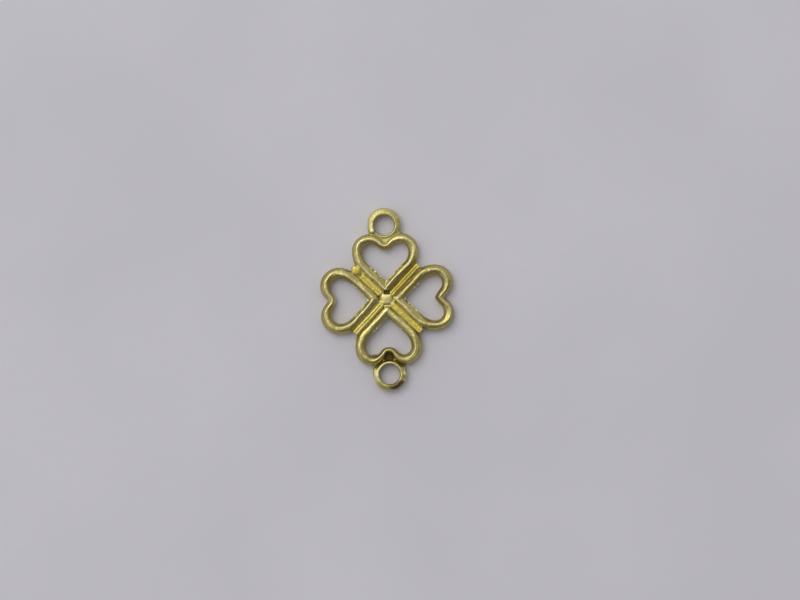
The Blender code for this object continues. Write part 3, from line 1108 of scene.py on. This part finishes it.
def metal(name, light, green, brown, pale, roughness, grit_strength, grainy):
    # Brass with tarnish, painted shade, pale ridges with painted highlights and the skin of a
    # casting
    material, n, shader = new_material(name)
    hollow_shade = n.attribute("hollow_shade")
    edge = n.attribute("edge")
    wear_and_sheen = n.attribute("wear_and_sheen")
    matt = n.attribute("matt")
    dull = n.attribute("dull")
    cloud = n.noise(CLOUD_SCALE, 4.0, 0.6)
    mottle = n.noise(MOTTLE_SCALE, 4.0, 0.65)
    speck = n.noise(SPECK_SCALE, 2.0, 0.5)
    grit = n.noise(GRIT_SCALE, 3.0, 0.6)

    # Clouds of greener tarnish, brown and pale specks, and light brass again along worn edges
    cloudy = n.math("MAXIMUM", n.spread(cloud, 0.35, 0.68), n.math("MULTIPLY", matt, 0.85))
    colour = n.mix(cloudy, light, green)
    colour = n.mix(n.spread(mottle, 0.50, 0.78, to_high=0.70), colour, brown)
    colour = n.mix(n.spread(speck, 0.56, 0.72, to_high=0.65), colour, pale)
    colour = n.mix(n.spread(edge, 0.05, 0.9, to_high=0.30), colour, light)

    # Painted shade: brown in hollows and on steep walls, and darker still in the deepest places
    uneven = n.spread(mottle, 0.15, 0.6, to_low=0.65)
    hollow = n.math("MULTIPLY", n.spread(hollow_shade, 0.20, 0.90), uneven)
    normal = n.add("ShaderNodeSeparateXYZ")
    n.link(n.add("ShaderNodeNewGeometry").outputs["Normal"], normal.inputs[0])
    level = n.math("ABSOLUTE", normal.outputs["Z"], 0.0)
    steep = n.spread(level, 0.35, 0.88, to_low=0.65, to_high=0.0)
    colour = n.mix(n.math("MAXIMUM", hollow, steep), colour, brown)
    colour = n.mix(n.spread(hollow_shade, 0.65, 1.2, to_high=0.85), colour, DEEP_SHADE)

    # A darker, browner zone, and pale ridges, partly rubbed wear and partly painted highlight,
    # which are fewer in that zone
    colour = n.mix(n.spread(dull, 0.0, 1.0, to_high=0.40), colour, brown)
    patchy = n.spread(mottle, 0.25, 0.55, to_low=0.7)
    wear_and_sheen_share = n.math("MULTIPLY", n.spread(wear_and_sheen, 0.0, 1.0, to_high=0.85), patchy)
    wear_and_sheen_share = n.math("MULTIPLY", wear_and_sheen_share, n.spread(dull, 0.0, 1.0, to_low=1.0, to_high=0.25))
    n.link(n.mix(wear_and_sheen_share, colour, pale), shader.inputs["Base Color"])
    shader.inputs["Metallic"].default_value = 1.0

    # Rougher in hollows and where the finish is matt
    shine = n.spread(mottle, 0.3, 0.75, to_low=roughness - 0.05, to_high=roughness + 0.10)
    shine = n.math("ADD", shine, n.spread(hollow_shade, 0.0, 0.8, to_high=0.20))
    shine = n.math("ADD", shine, n.math("MULTIPLY", matt, 0.12))
    n.link(shine, shader.inputs["Roughness"])
    skin = n.bump(mottle, 0.35, MOTTLE_BUMP)
    skin = n.bump(grit, grit_strength, GRIT_BUMP, skin)
    if grainy:
        skin = n.bump(n.cells(GRAIN_SCALE), 0.8, GRAIN_BUMP, skin)
    n.link(skin, shader.inputs["Normal"])
    return material


def paper():
    # Plain pale paper with a little fibre
    material, n, shader = new_material("paper")
    fibre = n.noise(FIBRE_SCALE, 6.0, 0.65)
    blotch = n.noise(BLOTCH_SCALE, 2.0, 0.5)
    colour = n.mix(n.spread(blotch, 0.3, 0.7), PAPER_LIGHT, PAPER_DARK)
    colour = n.mix(n.spread(fibre, 0.3, 0.7, to_high=0.25), colour, PAPER_DARK)
    n.link(colour, shader.inputs["Base Color"])
    shader.inputs["Roughness"].default_value = 0.85
    shader.inputs["Specular IOR Level"].default_value = 0.2
    n.link(n.bump(fibre, 0.12, FIBRE_BUMP), shader.inputs["Normal"])
    return material


def make_pieces():
    # The casting's twelve pieces, each in place of the node of its name
    brass = metal(
        "brass", LIGHT_BRASS, GREEN_BRASS, BROWN_BRASS, PALE_WEAR_AND_SHEEN,
        roughness=0.33, grit_strength=0.35, grainy=False,
    )
    golden = metal(
        "grainy_brass", GOLDEN, GREEN_GOLDEN, BROWN_GOLDEN, PALE_WEAR_AND_SHEEN_GOLDEN,
        roughness=0.44, grit_strength=0.8, grainy=True,
    )
    fields = main_fields()
    whole = run_together(fields)
    metal_share = np.clip(0.5 - whole / GRID_STEP, 0.0, 1.0).astype(np.float32)
    crowd = box_blur(metal_share, max(1, round(CROWD_REACH / GRID_STEP)))
    bend = (box_blur(whole, 1) - whole) / GRID_STEP ** 2
    for name, own in fields.items():
        rest = functools.reduce(np.minimum, [fields[other] for other in fields if other != name])
        mesh = piece_mesh(name, own, rest, whole, crowd, bend)
        grainy = name in STRIPS or name == "upper_left_bead"
        mesh.materials.append(golden if grainy else brass)
        piece = bpy.data.objects.new(name + "_cast", mesh)
        bpy.context.scene.collection.objects.link(piece)
        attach(piece, "root")
        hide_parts(name)


# Half width of the floor and its depth below the charm's back, in metres
FLOOR_REACH = 3.0
FLOOR_DEPTH = 0.00002


def make_floor():
    # One sheet of paper
    mesh = bpy.data.meshes.new("floor")
    turns = ((-1, -1), (1, -1), (1, 1), (-1, 1))
    corners = [(a * FLOOR_REACH, b * FLOOR_REACH, -FLOOR_DEPTH) for a, b in turns]
    mesh.from_pydata(corners, [], [(0, 1, 2, 3)])
    mesh.materials.append(paper())
    floor = bpy.data.objects.new("floor", mesh)
    bpy.context.scene.collection.objects.link(floor)


# The photograph: its width and the charm's length in pixels, turn of the charm, pixels from
# the charm's middle to the photograph's, and the camera, which looks straight down
PHOTO_WIDTH = 800
CHARM_PIXELS = 183.0
CHARM_LENGTH = 20.0
PIXEL = CHARM_LENGTH / CHARM_PIXELS
CHARM_TURN = math.radians(2.2)
MIDDLE_RIGHT = 13.1
MIDDLE_BELOW = 0.6
CAMERA_DISTANCE = 300.0
FOCUS_HEIGHT = 1.0
SENSOR = 36.0


def make_camera():
    # Straight above, and turned as the photograph is
    data = bpy.data.cameras.new("camera")
    data.sensor_width = SENSOR
    data.lens = SENSOR * CAMERA_DISTANCE / (PHOTO_WIDTH * PIXEL)
    data.clip_start = 0.005
    data.clip_end = 20.0
    camera = bpy.data.objects.new("camera", data)
    bpy.context.scene.collection.objects.link(camera)
    s, c = math.sin(CHARM_TURN), math.cos(CHARM_TURN)
    x = PIXEL * (MIDDLE_RIGHT * c - MIDDLE_BELOW * s)
    y = PIXEL * (-MIDDLE_RIGHT * s - MIDDLE_BELOW * c)
    camera.location = (x * MM, y * MM, (CAMERA_DISTANCE + FOCUS_HEIGHT) * MM)
    camera.rotation_euler = (0.0, 0.0, -CHARM_TURN)
    bpy.context.scene.camera = camera


# Light. An azimuth is in degrees from +X towards +Y, and a tilt from straight up. The lamp's
# distance and side are in metres, its power in watts. Levels are radiance, where 1 is white.
# Each span says between which shares of facing the lamp, the window or straight up the glow,
# the window's light or the pale band at the horizon changes.
KEY_AZIMUTH = 130.0
KEY_TILT = 29.0
KEY_DISTANCE = 0.7
KEY_SIZE = 0.50
KEY_POWER = 1.25
SKY_AZIMUTH = 117.0
ROOM_LEVEL = 0.125
SKY_LEVEL = 0.31
GLOW_LEVEL = 0.16
HORIZON_LEVEL = 0.46
GLOW_SPAN = (0.75, 1.0)
SKY_SPAN = (-0.70, 0.05)
HORIZON_SPAN = (0.08, 0.16)
ROOM_COLOUR = (0.97, 0.96, 1.0, 1.0)


def way_to(azimuth, tilt):
    # A direction, one long
    a, t = math.radians(azimuth), math.radians(tilt)
    return math.cos(a) * math.sin(t), math.sin(a) * math.sin(t), math.cos(t)


def make_light():
    # A square lamp and a window glow on the upper left, a plain dim room round them, and a
    # pale band at the horizon that the paper runs out into
    data = bpy.data.lights.new("key", "AREA")
    data.shape = "SQUARE"
    data.size = KEY_SIZE
    data.energy = KEY_POWER
    lamp = bpy.data.objects.new("key", data)
    way = Vector(way_to(KEY_AZIMUTH, KEY_TILT))
    lamp.location = way * KEY_DISTANCE
    lamp.rotation_euler = way.to_track_quat("Z", "Y").to_euler()
    bpy.context.scene.collection.objects.link(lamp)

    world = bpy.data.worlds.new("room")
    bpy.context.scene.world = world
    world.use_nodes = True
    n = Nodes(world.node_tree)
    place = n.place("Generated")
    key = n.facing(place, way_to(KEY_AZIMUTH, KEY_TILT))
    sky = n.facing(place, way_to(SKY_AZIMUTH, 90.0))
    height = n.facing(place, way_to(0.0, 0.0))
    glow = n.spread(key, *GLOW_SPAN, 0.0, GLOW_LEVEL)
    side = n.spread(sky, *SKY_SPAN, ROOM_LEVEL, ROOM_LEVEL + SKY_LEVEL)
    band = n.spread(height, *HORIZON_SPAN, HORIZON_LEVEL - ROOM_LEVEL, 0.0)
    back = world.node_tree.nodes["Background"]
    n.link(n.math("ADD", n.math("ADD", glow, side), band), back.inputs["Strength"])
    back.inputs["Color"].default_value = ROOM_COLOUR


make_camera()
make_light()
make_floor()
make_pieces()

bpy.context.scene.view_settings.view_transform = "Standard"
